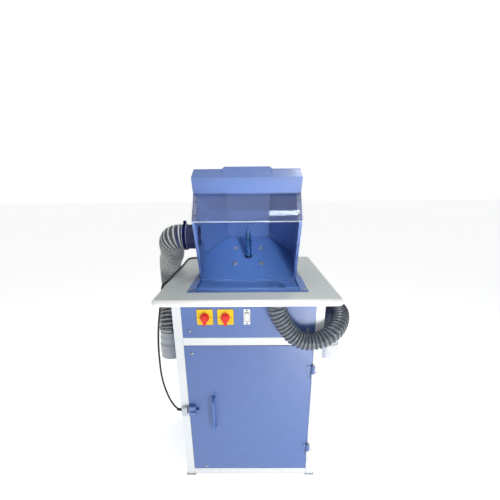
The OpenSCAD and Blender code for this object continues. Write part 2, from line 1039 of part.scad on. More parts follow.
// Clear plate on the sloping front edges, from under the lamp box to just past the nose
module visor() {
    color("lightcyan", 0.4)
        difference() {
            translate([0, nose[0], nose[1]])
                rotate([visor_angle, 0, 0])
                    translate([-visor_x, -9, 0.1])
                        cube([2 * visor_x, visor_len + 5, visor_t]);
            visor_screw_places()
                translate([0, 0, -12])
                    cylinder(r = 2.1, h = 30);
        }
}

module visor_screws() {
    color("silver")
        visor_screw_places()
            translate([0, 0, visor_t + 0.1])
                pan_screw(4.5, 2, 14);
}

// ---- Ports ----

module side_port() {
    color("royalblue")
        translate([-hood_x, port_y, port_z])
            rotate([0, -90, 0])
                union() {
                    ring(port_r, port_r - skin, -hood_x - port_end_x);
                    ring(port_r + 9, port_r - 0.01, 2.5);
                }
}

module drain_port() {
    color("royalblue")
        translate([drain_x, drain_y, drain_end_z])
            union() {
                ring(drain_r, drain_r - skin, base_top - drain_end_z);
                translate([0, 0, base_top - drain_end_z])
                    ring(drain_r + 3, drain_r - skin, 2);
            }
}

// ---- Motor and spindle ----

// The square front shield that bolts under the hood's floor, and the round rear shield
module motor_end_shields() {
    half = bolt_offset + 14;
    color("slategray")
        on_spindle() {
            translate([0, 0, housing_z])
                difference() {
                    linear_extrude(flange_t)
                        difference() {
                            round_square(2 * half, 12);
                            for (x = [-1, 1], y = [-1, 1])
                                translate([x * bolt_offset, y * bolt_offset])
                                    circle(r = motor_bolt_r + 0.1);
                        }
                    translate([0, 0, -1])
                        cylinder(r = bearing_r, h = flange_t + 2);
                }
            translate([0, 0, cowl_z - 6])
                ring(motor_r - 4, bearing_r, 6);
        }
}

module motor_bolts() {
    color("silver")
        on_spindle()
            for (x = [-1, 1], y = [-1, 1])
                translate([x * bolt_offset, y * bolt_offset, 0])
                    hex_bolt(motor_bolt_r, floor_t + flange_t);
}

module motor_housing() {
    fins = 28;
    color("slategray")
        on_spindle()
            translate([0, 0, cowl_z])
                linear_extrude(housing_len)
                    difference() {
                        union() {
                            circle(r = motor_r - 8);
                            for (i = [0:fins - 1])
                                rotate([0, 0, i * 360 / fins])
                                    translate([motor_r - 10, -1.5])
                                        square([10, 3]);
                        }
                        circle(r = 52);
                    }
}

module stator_core() {
    color("darkgoldenrod")
        on_spindle()
            translate([0, 0, cowl_z + 30])
                ring(52, rotor_r + 0.6, housing_len - 55);
}

module motor_bearings() {
    color("silver")
        on_spindle() {
            translate([0, 0, housing_z])
                ring(bearing_r, shaft_r + run_play, flange_t);
            translate([0, 0, cowl_z - 6])
                ring(bearing_r, shaft_r + run_play, 6);
        }
}

module fan_cowl() {
    outer = motor_r - 1;
    color("dimgray")
        on_spindle()
            translate([0, 0, cowl_z - 6 - cowl_len])
                difference() {
                    cylinder(r = outer, h = cowl_len + 6);
                    translate([0, 0, 2])
                        cylinder(r = outer - 2, h = cowl_len + 6);
                    for (i = [0:11])
                        rotate([0, 0, 30 * i])
                            translate([22, -4, -1])
                                cube([34, 8, 4]);
                }
}

module terminal_box() {
    color("dimgray")
        on_spindle()
            translate([motor_r, -32, cowl_z + 40])
                cube([30, 64, 76]);
}

// Shaft, rotor, fan and spindle turn together
module motor_shaft() {
    color("silver")
        on_spindle()
            translate([0, 0, cowl_z - 36])
                cylinder(r = shaft_r, h = 36 - cowl_z);
}

module rotor_core() {
    color("gray")
        on_spindle()
            translate([0, 0, cowl_z + 30])
                ring(rotor_r, shaft_r, housing_len - 55);
}

module cooling_fan() {
    color("black")
        on_spindle()
            translate([0, 0, cowl_z - 36]) {
                ring(20, shaft_r, 18);
                for (i = [0:7])
                    rotate([0, 0, 45 * i])
                        translate([19.5, -1.5, 0])
                            cube([34, 3, 16]);
            }
}

module spindle() {
    neck = 76;
    cone_z = 82;
    color([0.12, 0.13, 0.16])
        on_spindle()
            rotate_extrude()
                polygon([
                    [0, 0], [spindle_r - 2, 0], [spindle_r - 2, 14], [spindle_r, 16],
                    [spindle_r, neck], [spindle_r - 2.5, neck + 1.5], [spindle_r - 2.5, cone_z],
                    [spindle_r - 0.5, cone_z + 2], [spindle_r - 1.2, cone_z + 10],
                    [7.5, spindle_len - 22], [1.6, spindle_len - 1.5], [0, spindle_len]
                ]);
}

// ---- Hoses, clamps and couplers ----

module left_hose() {
    color("darkgray")
        swept(smooth(left_route), left_hose_r, [-1, 0, 0], [0, 0, -1], [0, 1, 0]);
}

module right_hose() {
    color("gray")
        swept(smooth(right_route), right_hose_r, [0, 0, -1], [0, 0, -1], [0, 1, 0]);
}

// Band with a screw housing, round a hose end whose cuff has radius r
module clamp(r) {
    ring(r + 1.2, r, 12);
    translate([r + 0.6, -9, 1])
        cube([10, 18, 10]);
}

module hose_cuffs() {
    color("dimgray") {
        translate([port_end_x, port_y, port_z])
            rotate([0, 90, 0])
                ring(left_hose_r, port_r, 16);
        translate([drain_x, drain_y, drain_end_z])
            ring(right_hose_r, drain_r, 34);
        translate([-coupler_x, coupler_y, coupler_top + 0.2])
            ring(left_hose_r, left_hose_r - 3.5, spigot_h - 0.2);
        translate([coupler_x, coupler_y, coupler_top + 0.2])
            ring(right_hose_r, right_hose_r - 3.5, spigot_h - 0.2);
    }
}

module hose_clamps() {
    color("silver") {
        translate([port_end_x + 2, port_y, port_z])
            rotate([0, 90, 0])
                rotate([0, 0, 180])
                    clamp(left_hose_r);
        translate([drain_x, drain_y, drain_end_z + 12])
            rotate([0, 0, 180])
                clamp(right_hose_r);
        translate([-coupler_x, coupler_y, coupler_top + 8])
            rotate([0, 0, -60])
                clamp(left_hose_r);
        translate([coupler_x, coupler_y, coupler_top + 8])
            rotate([0, 0, -120])
                clamp(right_hose_r);
    }
}

// Stepped pipe coupler: a hose spigot on top and an open duct socket below
module coupler(x, spigot_r) {
    wall = 4;
    translate([x, coupler_y, 0])
        rotate_extrude()
            polygon([
                [socket_r, coupler_bottom], [54, coupler_bottom], [54, coupler_step - 4],
                [50, coupler_step], [48, coupler_step + 1], [48, coupler_top - 14],
                [spigot_r + 2.5, coupler_top], [spigot_r, coupler_top],
                [spigot_r, coupler_top + spigot_h],
                [spigot_r - wall, coupler_top + spigot_h], [spigot_r - wall, coupler_top - 10],
                [42, coupler_top - 24], [42, coupler_bottom + socket_depth],
                [socket_r, coupler_bottom + socket_depth]
            ]);
}

module left_coupler() {
    color("darkgray")
        coupler(-coupler_x, left_hose_r - 3.5);
}

module right_coupler() {
    color("whitesmoke")
        coupler(coupler_x, right_hose_r - 3.5);
}

// Band round each coupler, with an arm and a foot on the cabinet's side
module coupler_brackets() {
    band_z = coupler_step + 12;
    wall_x = frame_x - 2;
    color("silver")
        for (s = [-1, 1])
            difference() {
                union() {
                    translate([s * coupler_x, coupler_y, band_z])
                        cylinder(r = 50.5, h = 24);
                    translate([s > 0 ? wall_x : -coupler_x, coupler_y - 12, band_z])
                        cube([coupler_x - wall_x, 24, 24]);
                    translate([s > 0 ? wall_x : -wall_x - 3, coupler_y - 40, band_z - 8])
                        cube([3, 80, 40]);
                }
                translate([s * coupler_x, coupler_y, band_z - 1])
                    cylinder(r = 48, h = 26);
            }
}

// ---- Lamp cable and glands ----

module lamp_gland_place() {
    on_slope()
        translate([-60, floor_len, lamp_gland_h])
            rotate([-90, 0, 0])
                children();
}

module lamp_cable() {
    out = [0, cos(tilt), sin(tilt)];
    color([0.1, 0.1, 0.1])
        swept(smooth(cable_route), cable_r, out, [1, 0, 0], [1, 0, 0.2], 8);
}

// Gland with a hexagon, a domed nut and a threaded tail, its mouth along +Z
module gland(body_r, bore_r) {
    difference() {
        union() {
            translate([0, 0, -6])
                cylinder(r = body_r, h = 6.01);
            cylinder(r = body_r + 3, h = 6, $fn = 6);
            translate([0, 0, 5.99])
                cylinder(r1 = body_r + 1.5, r2 = bore_r + 2, h = 12);
        }
        translate([0, 0, -7])
            cylinder(r = bore_r, h = 30);
    }
}

module cable_glands() {
    color("dimgray") {
        lamp_gland_place()
            gland(8, cable_r + gland_play);
        translate([-frame_x + 2, gland_y, gland_z])
            rotate([0, -90, 0])
                gland(8, cable_r + gland_play);
        translate([mains_gland_x, frame_y1 - 2, mains_gland_z])
            rotate([-90, 0, 0])
                gland(10, 5);
    }
}

// ---- Assembly ----

frame_legs();
frame_feet();
frame_rails();
control_panel();
panel_screws();
side_panels();
rear_panel();
cabinet_floor();
starter_box();
contactor();
bench_top();
door_panel();
door_screws();
door_handle();
latch_housing();
latch_bolt();
latch_keeper();
door_hinge_leaves();
frame_hinge_leaves();
hinge_pins();
switch_plates();
switch_bodies();
switch_knob_left();
switch_knob_right();
rocker_body();
rocker_paddle();
hood_base();
base_bolts();
hood_shell();
hood_floor();
spindle_seal();
lamp_box();
lamp_cover();
lamp_lens();
lamp_tube();
lamp_holders();
visor();
visor_screws();
side_port();
drain_port();
motor_end_shields();
motor_bolts();
motor_housing();
stator_core();
motor_bearings();
fan_cowl();
terminal_box();
motor_shaft();
rotor_core();
cooling_fan();
spindle();
left_hose();
right_hose();
hose_cuffs();
hose_clamps();
left_coupler();
right_coupler();
coupler_brackets();
lamp_cable();
cable_glands();
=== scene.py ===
"""Looks of the lapping table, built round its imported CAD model.

Metres; +X right, +Y away from the camera, +Z up. A node's object sits at the origin, so Object
coordinates in the materials are the model's own.
"""

import json
import math

import bpy
import numpy as np
from mathutils import Matrix, Vector


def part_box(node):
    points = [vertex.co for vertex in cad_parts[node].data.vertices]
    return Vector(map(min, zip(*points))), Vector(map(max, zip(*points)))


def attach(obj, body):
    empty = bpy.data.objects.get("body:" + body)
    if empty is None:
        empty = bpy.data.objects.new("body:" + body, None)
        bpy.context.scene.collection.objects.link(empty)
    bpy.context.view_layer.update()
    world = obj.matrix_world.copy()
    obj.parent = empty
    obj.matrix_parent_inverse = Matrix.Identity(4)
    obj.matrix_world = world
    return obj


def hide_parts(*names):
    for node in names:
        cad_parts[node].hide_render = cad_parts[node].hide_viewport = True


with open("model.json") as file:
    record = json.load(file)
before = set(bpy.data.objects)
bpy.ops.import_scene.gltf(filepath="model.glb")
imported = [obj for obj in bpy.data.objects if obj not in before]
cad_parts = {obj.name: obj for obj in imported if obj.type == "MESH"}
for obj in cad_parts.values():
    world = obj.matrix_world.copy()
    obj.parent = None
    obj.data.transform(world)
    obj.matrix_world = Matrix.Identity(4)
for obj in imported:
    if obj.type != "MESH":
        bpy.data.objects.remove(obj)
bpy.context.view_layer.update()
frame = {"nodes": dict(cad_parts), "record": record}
nodes = frame["nodes"]
SLOT_OF = {s["node"]: s["material_slot"] for s in frame["record"]["subparts"]}

# ---------------------------------------------------------------- camera

CAMERA_AT = Vector((0.0175, -1.392, 1.2955))
PITCH, YAW, ROLL = (math.radians(a) for a in (21.34, -0.53, -0.51))
FOCAL_MM, SENSOR_MM = 23.63, 36.0
SHIFT_Y = 0.1358


def make_camera():
    """The camera solved from the photo: where it stands, how it is turned and its lens."""
    ahead = Vector((math.sin(YAW), math.cos(YAW), 0))
    forward = ahead * math.cos(PITCH) - Vector((0, 0, math.sin(PITCH)))
    up = ahead * math.sin(PITCH) + Vector((0, 0, math.cos(PITCH)))
    right = Vector((math.cos(YAW), -math.sin(YAW), 0))
    x = right * math.cos(ROLL) + up * math.sin(ROLL)
    y = up * math.cos(ROLL) - right * math.sin(ROLL)
    turn = Matrix((x, y, -forward)).transposed().to_4x4()
    data = bpy.data.cameras.new("camera")
    data.lens, data.sensor_width = FOCAL_MM, SENSOR_MM
    data.shift_y = SHIFT_Y
    data.clip_start, data.clip_end = 0.05, 60
    camera = bpy.data.objects.new("camera", data)
    camera.matrix_world = Matrix.Translation(CAMERA_AT) @ turn
    bpy.context.scene.collection.objects.link(camera)
    bpy.context.scene.camera = camera


make_camera()

# ---------------------------------------------------------------- routes, as in the CAD source

LEFT_ROUTE = [
    (-0.244, -0.112, 1.130), (-0.2568, -0.111, 1.1293), (-0.2702, -0.1077, 1.1268),
    (-0.2821, -0.1019, 1.1224), (-0.2922, -0.0932, 1.1157), (-0.300, -0.0813, 1.1065),
    (-0.3056, -0.0661, 1.0948), (-0.3096, -0.047, 1.0807), (-0.314, -0.0226, 1.0638),
    (-0.3232, 0.0088, 1.0447), (-0.3376, 0.0463, 1.0244), (-0.3513, 0.0841, 1.0043),
    (-0.364, 0.1212, 0.9823), (-0.3741, 0.1526, 0.9521), (-0.3803, 0.1717, 0.9121),
    (-0.3833, 0.1776, 0.8678), (-0.3845, 0.170, 0.8236), (-0.3847, 0.1479, 0.7847),
    (-0.3845, 0.1259, 0.7645), (-0.3843, 0.108, 0.750), (-0.3841, 0.095, 0.7376),
    (-0.384, 0.0858, 0.7257), (-0.384, 0.0796, 0.7132), (-0.384, 0.076, 0.6997),
    (-0.384, 0.075, 0.686),
]
RIGHT_ROUTE = [
    (0.108, -0.221, 0.885), (0.113, -0.221, 0.860), (0.127, -0.221, 0.832),
    (0.150, -0.221, 0.794), (0.180, -0.221, 0.760), (0.216, -0.221, 0.741),
    (0.256, -0.221, 0.738), (0.298, -0.219, 0.749), (0.332, -0.207, 0.768),
    (0.358, -0.178, 0.787), (0.374, -0.140, 0.801), (0.383, -0.095, 0.808),
    (0.386, -0.045, 0.806), (0.387, 0.000, 0.792), (0.386, 0.040, 0.764), (0.385, 0.066, 0.726),
    (0.384, 0.075, 0.686),
]
CABLE_ROUTE = [
    (-0.060, 0.018, 1.322), (-0.060, 0.046, 1.335), (-0.063, 0.078, 1.336),
    (-0.070, 0.102, 1.306), (-0.080, 0.112, 1.240), (-0.094, 0.122, 1.160),
    (-0.112, 0.148, 1.080), (-0.136, 0.190, 1.012), (-0.168, 0.236, 0.974),
    (-0.206, 0.282, 0.9652), (-0.246, 0.316, 0.9641), (-0.284, 0.332, 0.9641),
    (-0.306, 0.320, 0.9641), (-0.314, 0.292, 0.9641), (-0.314, 0.240, 0.9641),
    (-0.312, 0.150, 0.9641), (-0.313, 0.050, 0.9641), (-0.315, -0.050, 0.9641),
    (-0.315, -0.120, 0.9641), (-0.318, -0.160, 0.9641), (-0.327, -0.180, 0.955),
    (-0.333, -0.185, 0.925), (-0.345, -0.183, 0.868), (-0.362, -0.175, 0.788),
    (-0.375, -0.163, 0.706), (-0.382, -0.153, 0.620), (-0.384, -0.145, 0.540),
    (-0.378, -0.136, 0.470), (-0.366, -0.127, 0.408), (-0.352, -0.119, 0.366),
    (-0.338, -0.116, 0.345), (-0.322, -0.116, 0.338), (-0.308, -0.116, 0.338),
]
LEFT_R, RIGHT_R, CABLE_R = 0.0485, 0.037, 0.004


def smooth_line(route, steps=16):
    """Dense points on the smooth curve through the route's points."""
    p = np.array(route, float)
    last = len(p) - 1
    out = []
    for i in range(last):
        a, b, c, d = p[max(i - 1, 0)], p[i], p[i + 1], p[min(i + 2, last)]
        for t in np.arange(steps) / steps:
            out.append(
                0.5 * (2 * b + (c - a) * t + (2 * a - 5 * b + 4 * c - d) * t**2
                       + (3 * b - a - 3 * c + d) * t**3)
            )
    out.append(p[last])
    return np.array(out)


def evenly(line, spacing):
    """The line again with evenly spaced points, and how far along each one is."""
    along = np.concatenate([[0], np.cumsum(np.linalg.norm(np.diff(line, axis=0), axis=1))])
    at = np.linspace(0, along[-1], max(2, int(round(along[-1] / spacing)) + 1))
    return np.stack([np.interp(at, along, line[:, k]) for k in range(3)], axis=1), at


def link(obj):
    """Puts an object into the scene and gives it back."""
    bpy.context.scene.collection.objects.link(obj)
    return obj


def mesh_object(name, points, faces):
    """A smooth-shaded object of these points and faces, linked into the scene."""
    mesh = bpy.data.meshes.new(name)
    mesh.from_pydata([tuple(p) for p in points], [], faces)
    mesh.validate()
    mesh.polygons.foreach_set("use_smooth", [True] * len(mesh.polygons))
    mesh.update()
    return link(bpy.data.objects.new(name, mesh))


def ridge(u, width):
    """Height, from 0 to 1, of a rounded ridge at phase u of one turn; width is half its own."""
    d = np.abs((u + 0.5) % 1.0 - 0.5) / width
    return np.where(d < 1, np.cos(np.minimum(d, 1) * math.pi / 2) ** 1.4, 0.0)


def ribbed_tube(name, line, first, last, radius, pitch, depth, side, width, around=44):
    """A hose with one raised spiral: rings along the line, with the ridge wound round it."""
    centre, along = evenly(line, pitch / 11)
    tangent = np.gradient(centre, axis=0)
    tangent /= np.linalg.norm(tangent, axis=1)[:, None]
    tangent[0], tangent[-1] = first, last
    u = np.array(side, float)
    points, rib = [], []
    angles = np.arange(around) * 2 * math.pi / around
    for c, t, s in zip(centre, tangent, along):
        u = u - (u @ t) * t
        u /= np.linalg.norm(u)
        v = np.cross(t, u)
        h = ridge(s / pitch - angles / (2 * math.pi), width)
        sag = 0.0006 * np.sin(angles * 5 + s * 90) * (1 - h)
        r = radius - depth * (1 - h) + sag
        points += [c + r[k] * (math.cos(a) * u + math.sin(a) * v) for k, a in enumerate(angles)]
        rib += list(h)
    rings = len(centre)
    faces = [
        (i * around + k, i * around + (k + 1) % around,
         (i + 1) * around + (k + 1) % around, (i + 1) * around + k)
        for i in range(rings - 1) for k in range(around)
    ]
    faces.append(tuple(range(around - 1, -1, -1)))
    faces.append(tuple((rings - 1) * around + k for k in range(around)))
    tube = mesh_object(name, points, faces)
    tube.data.attributes.new("rib", "FLOAT", "POINT").data.foreach_set("value", rib)
    for face in list(tube.data.polygons)[-2:]:
        face.use_smooth = False
    return tube, centre


# ---------------------------------------------------------------- procedural materials


def linear(rgb):
    """Linear colour of an sRGB colour given from 0 to 255."""
    return tuple(
        c / 12.92 if c <= 0.04045 else ((c + 0.055) / 1.055) ** 2.4 for c in (v / 255 for v in rgb)
    )


# Nearly all of a noise texture's values lie between these
NOISE_SPAN = (0.3, 0.7)


class Nodes:
    """A material's node tree with short calls for what these finishes are made of."""

    def __init__(self, name, rgb, rough, metal=0.0, **sockets):
        self.material = bpy.data.materials.new(name)
        self.material.use_nodes = True
        self.tree = self.material.node_tree
        self.shader = self.tree.nodes["Principled BSDF"]
        self.colour = linear(rgb)
        self.shader.inputs["Base Color"].default_value = (*self.colour, 1)
        self.shader.inputs["Roughness"].default_value = rough
        self.shader.inputs["Metallic"].default_value = metal
        for key, value in sockets.items():
            self.shader.inputs[key.replace("_", " ")].default_value = value
        self.place = self.tree.nodes.new("ShaderNodeTexCoord").outputs["Object"]
        self.normal = None

    def new(self, kind, **inputs):
        node = self.tree.nodes.new(kind)
        for key, value in inputs.items():
            self.put(node.inputs[key.replace("_", " ")], value)
        return node

    def put(self, socket, value):
        if isinstance(value, bpy.types.NodeSocket):
            self.tree.links.new(value, socket)
        else:
            socket.default_value = value

    def noise(self, size, detail=2.0, stretch=None, rough=0.5):
        """Noise whose grain is about size metres, from 0 to 1."""
        place = self.place
        if stretch:
            mapping = self.new("ShaderNodeMapping", Vector=place, Scale=stretch)
            place = mapping.outputs["Vector"]
        node = self.new(
            "ShaderNodeTexNoise", Vector=place, Scale=1 / size, Detail=detail, Roughness=rough
        )
        return node.outputs["Fac"]

    def cells(self, size):
        """Rounded cells about size metres across: the peel of a powder coat."""
        node = self.new("ShaderNodeTexVoronoi", Vector=self.place, Scale=1 / size)
        node.feature = "SMOOTH_F1"
        return node.outputs["Distance"]

    def remap(self, value, low, high, to_low=0.0, to_high=1.0):
        node = self.new("ShaderNodeMapRange", Value=value)
        for key, limit in (
            ("From Min", low), ("From Max", high), ("To Min", to_low), ("To Max", to_high),
        ):
            node.inputs[key].default_value = limit
        return node.outputs["Result"]

    def maths(self, operation, a, b=0.0):
        node = self.tree.nodes.new("ShaderNodeMath")
        node.operation = operation
        self.put(node.inputs[0], a)
        self.put(node.inputs[1], b)
        return node.outputs[0]

    def mix(self, share, a, b):
        """Colour a where share is 0 and b where it is 1."""
        node = self.tree.nodes.new("ShaderNodeMix")
        node.data_type = "RGBA"
        self.put(node.inputs["Factor"], share)
        for socket, value in ((node.inputs[6], a), (node.inputs[7], b)):
            self.put(socket, value if isinstance(value, bpy.types.NodeSocket) else (*value, 1))
        return node.outputs[2]

    def tinted(self, factor):
        return tuple(min(1.0, c * factor) for c in self.colour)

    def mottle(self, size, amount, detail=3.0):
        """Lightens and darkens the colour by amount, over patches of about size metres."""
        share = self.remap(self.noise(size, detail), *NOISE_SPAN)
        return self.paint(self.mix(share, self.tinted(1 - amount), self.tinted(1 + amount)))

    def paint(self, colour):
        """Makes this the base colour, and the one that a later stain goes over."""
        self.put(self.shader.inputs["Base Color"], colour)
        self.base = colour
        return self

    def uneven_gloss(self, size, low, high):
        """Lets the roughness drift from low to high over patches of about size metres."""
        share = self.remap(self.noise(size, 3.0), *NOISE_SPAN, low, high)
        self.put(self.shader.inputs["Roughness"], share)
        return self

    def bump(self, height, strength, distance):
        """Adds a relief of up to distance metres on top of the ones so far."""
        node = self.new("ShaderNodeBump", Height=height, Strength=strength, Distance=distance)
        if self.normal is not None:
            self.put(node.inputs["Normal"], self.normal)
        self.normal = node.outputs["Normal"]
        self.put(self.shader.inputs["Normal"], self.normal)
        return self

    def attribute(self, name):
        node = self.tree.nodes.new("ShaderNodeAttribute")
        node.attribute_name = name
        return node.outputs["Fac"]

    def axis(self, which):
        split = self.new("ShaderNodeSeparateXYZ", Vector=self.place)
        return split.outputs[which]

    def within(self, value, centre, half, soft=0.0003):
        """1 where value is within half of centre, and 0 further off than that plus soft."""
        off = self.maths("ABSOLUTE", self.maths("SUBTRACT", value, centre))
        return self.remap(off, half, half + soft, 1.0, 0.0)

    def stain(self, mask, rgb):
        """Lays another colour over the one so far, where mask is 1."""
        return self.paint(self.mix(mask, self.base, linear(rgb)))


PORT_NAVY = (20, 27, 78)

# Places on the object that a finish changes at
SWITCH_Z = 0.825
SWITCH_PAIR_X, SWITCH_HALF_GAP = -0.132, 0.041
TICK_RADIUS, TICK_HALF_LENGTH, TICK_HALF_WIDTH = 0.0245, 0.003, 0.0011
ROCKER_X = -0.006
ROCKER_GAP_OUTER = (0.0092, 0.0204)
ROCKER_GAP_INNER = (0.0076, 0.0188)
VISOR_EDGE_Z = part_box("visor")[0][2] + 0.0030
VISOR_EDGE_FADE = 0.0012
BENCH_TOP_Z = (0.9588, 0.9598)
PORT_CLAMP_Z = (0.99, 1.0)
OVER_PORT_X = (-0.276, -0.262)
LEG_SCUFF_TOP_Z = 0.075

# A corner counts as closed in below the first occlusion and as open above the second
CORNER_SPAN = (0.3, 0.85)
CORNER_SAMPLES = 8
# How far the painted shade darkens a fully closed corner towards its corner colour
CORNER_SHADE = 0.8


def powder_coat(
    name, rgb, rough=(0.4, 0.5), peel=0.0034, depth=0.22, mottle=0.035, coat=0.7,
    corner_shade=(34, 48, 98), reach=0.014,
):
    """Powder-coated steel: orange peel, faint cloudiness, a satin gloss and painted shade in its
    corners.
    """
    m = Nodes(name, rgb, 0.36, Coat_Weight=coat, Coat_Roughness=0.3)
    m.mottle(0.045, mottle)
    corner = m.new("ShaderNodeAmbientOcclusion", Distance=reach)
    corner.samples = CORNER_SAMPLES
    # Painted shade: ambient occlusion darkens the paint towards corner_shade in corners and gaps
    m.stain(m.remap(corner.outputs["AO"], *CORNER_SPAN, CORNER_SHADE, 0.0), corner_shade)
    m.uneven_gloss(0.02, *rough)
    m.bump(m.cells(peel), depth, 0.0004)
    m.bump(m.noise(peel * 3.2, 1.0), depth * 0.5, 0.0004)
    m.put(m.shader.inputs["Coat Normal"], m.normal)
    return m


def white_paint():
    """The frame's white paint, scuffed grey near the floor."""
    # corner_shade is the grey of the painted shade in the frame's corners
    m = powder_coat(
        "white_paint", (231, 235, 237), corner_shade=(150, 155, 160), rough=(0.34, 0.46), peel=0.0022,
        depth=0.16, mottle=0.012,
    )
    low = m.remap(m.axis("Z"), 0.0, LEG_SCUFF_TOP_Z, 1.0, 0.0)
    scuff = m.maths("MULTIPLY", low, m.remap(m.noise(0.011, 5.0, rough=0.62), 0.46, 0.62))
    m.stain(m.maths("MULTIPLY", scuff, 0.35), (148, 152, 154))
    return m.material


def foot_steel():
    """Zinc foot pads with dull, stained patches."""
    m = Nodes("foot_steel", (196, 200, 203), 0.42, 0.25)
    rust = m.remap(m.noise(0.008, 5.0, rough=0.65), 0.52, 0.68)
    m.mottle(0.015, 0.14)
    m.stain(m.maths("MULTIPLY", rust, 0.6), (128, 122, 116))
    m.uneven_gloss(0.01, 0.34, 0.6)
    m.bump(m.noise(0.003, 4.0), 0.3, 0.0003)
    return m.material


def bench_laminate():
    """Laminate sheet on top, painted greyer as painted shade, and a whiter band round the edge."""
    m = Nodes("bench_laminate", (200, 206, 203), 0.3, Specular_IOR_Level=0.3)
    cloud = m.remap(m.noise(0.13, 3.0, stretch=(1, 0.45, 1)), 0.3, 0.72)
    top = m.mix(cloud, m.tinted(0.955), m.tinted(1.03))
    fleck = m.remap(m.noise(0.0024, 4.0), 0.36, 0.6)
    top = m.mix(m.maths("MULTIPLY", fleck, 0.08), top, linear((188, 193, 190)))
    # Painted shade: the top takes the greyer colour, while the band round the edge stays near white
    on_top = m.remap(m.axis("Z"), *BENCH_TOP_Z)
    m.paint(m.mix(on_top, linear((247, 247, 245)), top))
    m.uneven_gloss(0.06, 0.3, 0.42)
    m.bump(m.noise(0.0035, 2.0), 0.05, 0.0002)
    return m.material


def metal(name, rgb, rough=(0.22, 0.36), grain=0.004, stretch=None, metallic=1.0):
    """Bare or plated metal with a fine grain, which stretch draws out along an axis."""
    m = Nodes(name, rgb, 0.3, metallic)
    m.mottle(grain * 3, 0.1)
    m.uneven_gloss(grain, *rough)
    m.bump(m.noise(grain * 0.4, 3.0, stretch), 0.15, 0.00015)
    return m


def plastic(name, rgb, rough=(0.32, 0.42), depth=0.12, mottle=0.025):
    """Moulded plastic or rubber with a fine texture."""
    m = Nodes(name, rgb, 0.36)
    m.mottle(0.02, mottle)
    m.uneven_gloss(0.012, *rough)
    m.bump(m.noise(0.0012, 2.0), depth, 0.0002)
    return m


def hose_skin(name, band, ridge_rgb, rough, edge, crease=0.0042):
    """Ribbed hose: bands between the turns of the raised spiral, which has its own colour."""
    m = Nodes(name, band, 0.4, Coat_Weight=0.4, Coat_Roughness=0.28)
    m.mottle(0.014, 0.14)
    rib = m.attribute("rib")
    worn = m.remap(m.noise(0.01, 4.0), 0.3, 0.62, 0.62, 1.0)
    m.stain(m.maths("MULTIPLY", m.remap(rib, *edge), worn), ridge_rgb)
    m.uneven_gloss(0.01, *rough)
    m.bump(m.noise(crease, 4.0, stretch=(1, 1, 0.5)), 0.35, 0.0009)
    m.bump(m.noise(0.0011, 2.0), 0.12, 0.0002)
    return m


def wire_hose():
    """The wide hose: pale wire turns over dark film, partly painted shade, navy where the port is
    inside it.
    """
    edge = (0.3, 0.62)
    # Between the turns the colour is dark partly as the film's own and partly as painted shade in
    # the valleys
    m = hose_skin("hose_light", (66, 69, 74), (196, 199, 198), (0.4, 0.56), edge)
    over_port = m.remap(m.axis("X"), *OVER_PORT_X)
    between = m.remap(m.attribute("rib"), *edge, 1.0, 0.12)
    m.stain(m.maths("MULTIPLY", over_port, between), PORT_NAVY)
    return m.material


SHEET_CLEAR = dict(Transmission_Weight=0.97, Alpha=0.17)
SHEET_EDGE = dict(Transmission_Weight=0.3, Alpha=0.42)


def clear_acrylic():
    """Clear sheet with a faint haze."""
    m = Nodes("clear_acrylic", (240, 247, 250), 0.03, IOR=1.49, **SHEET_CLEAR)
    haze = m.remap(m.noise(0.05, 5.0, rough=0.7), 0.35, 0.75, 0.006, 0.02)
    m.put(m.shader.inputs["Roughness"], haze)
    m.bump(m.noise(0.12, 1.0), 0.02, 0.0005)
    return m


def visor_acrylic():
    """The visor: its sawn lower edge gathers the light and shows as a pale line."""
    m = clear_acrylic()
    edge = m.remap(m.axis("Z"), VISOR_EDGE_Z, VISOR_EDGE_Z + VISOR_EDGE_FADE, 1.0, 0.0)
    for key, clear in SHEET_CLEAR.items():
        share = m.remap(edge, 0.0, 1.0, clear, SHEET_EDGE[key])
        m.put(m.shader.inputs[key.replace("_", " ")], share)
    return m.material


def plate_yellow():
    """Yellow escutcheons with a small dark tick at nine, twelve and three o'clock."""
    m = plastic("plate_yellow", (238, 198, 30), rough=(0.26, 0.36))
    from_pair = m.maths("ABSOLUTE", m.maths("SUBTRACT", m.axis("X"), SWITCH_PAIR_X))
    x = m.maths("SUBTRACT", from_pair, SWITCH_HALF_GAP)
    z = m.maths("SUBTRACT", m.axis("Z"), SWITCH_Z)
    out = m.within(m.maths("ABSOLUTE", x), TICK_RADIUS, TICK_HALF_LENGTH)
    sides = m.maths("MULTIPLY", out, m.within(z, 0, TICK_HALF_WIDTH))
    up = m.within(z, TICK_RADIUS, TICK_HALF_LENGTH)
    top = m.maths("MULTIPLY", m.within(x, 0, TICK_HALF_WIDTH), up)
    m.stain(m.maths("MAXIMUM", sides, top), (58, 44, 30))
    return m.material


def rocker_white():
    """White switch plate with a dark line of painted shade round its paddle, where the gap is."""
    m = plastic("rocker_white", (240, 240, 240), rough=(0.26, 0.36))
    x, z = m.axis("X"), m.axis("Z")
    outer, inner = (
        m.maths("MULTIPLY", m.within(x, ROCKER_X, half_x), m.within(z, SWITCH_Z, half_z))
        for half_x, half_z in (ROCKER_GAP_OUTER, ROCKER_GAP_INNER)
    )
    # Painted shade: a dark ring where the gap between the paddle and the plate lies
    m.stain(m.maths("SUBTRACT", outer, inner), (62, 62, 70))
    return m.material


def panel_screw_steel():
    """Zinc screws; the small ones that hold the rocker are blackened."""
    m = metal("panel_screw_steel", (152, 162, 176), metallic=0.75)
    m.stain(m.within(m.axis("X"), ROCKER_X, 0.006), (38, 38, 42))
    return m.material


